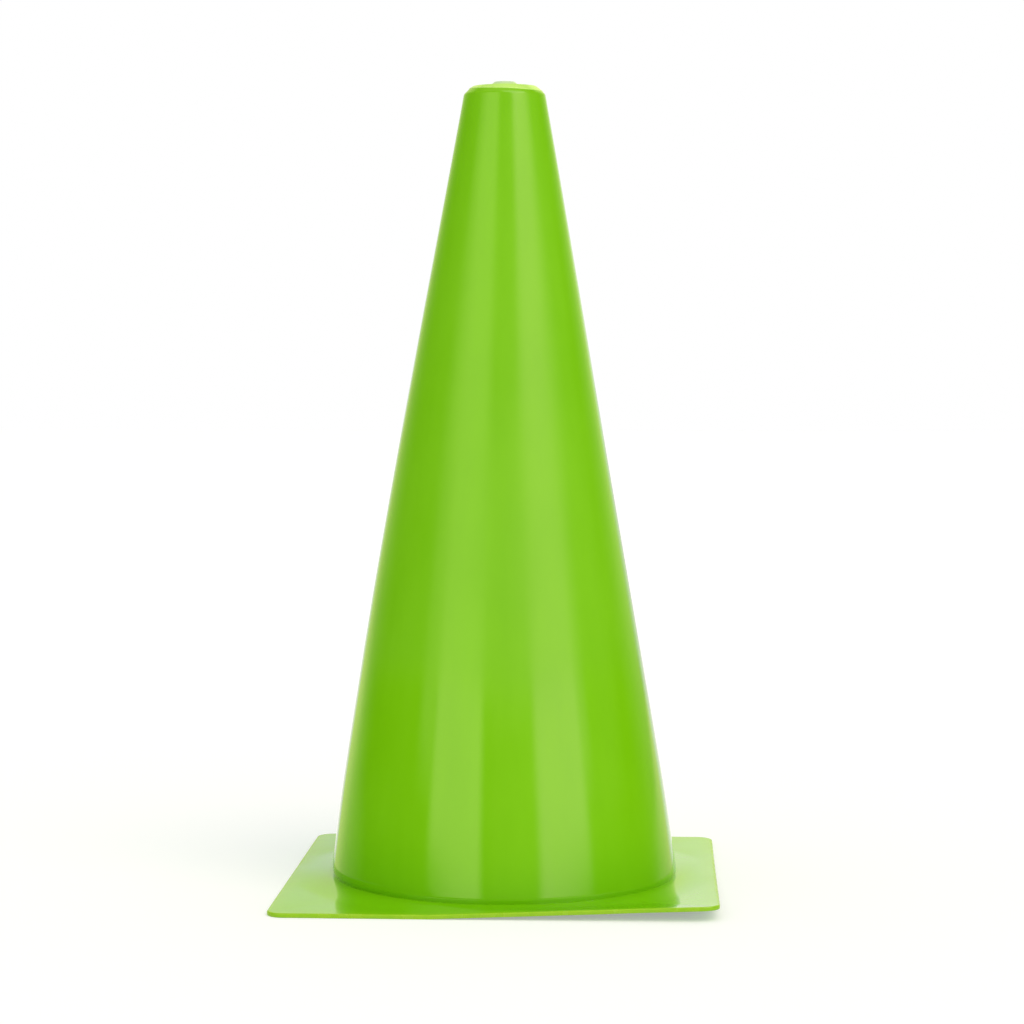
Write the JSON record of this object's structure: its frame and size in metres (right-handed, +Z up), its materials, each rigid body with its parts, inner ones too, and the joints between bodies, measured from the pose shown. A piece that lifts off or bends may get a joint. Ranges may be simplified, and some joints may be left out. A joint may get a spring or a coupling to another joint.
{
  "type": "sports marker cone",
  "caption": "Hollow tapered marker cone with a sloping shoulder on a thin square base plate, closed by a small cap; stands on grass or floors to mark a course and nests in a stack.",
  "frame": {"origin": "on the ground under the middle of the cone, at the centre of the base plate's underside", "axes": "+Z up along the cone's axis; X and Y along the sides of the square base plate"},
  "size_m": [0.125, 0.125, 0.2334],
  "materials": {
    "green_plastic": "smooth moulded polyethylene, semi-gloss, lime green",
    "lime_plastic": "smooth moulded polyethylene, semi-gloss, pale lime, slightly translucent"
  },
  "bodies": {
    "root": {"cone_body": "green_plastic", "base_plate": "green_plastic", "top_cap": "lime_plastic"}
  },
  "joints": []
}
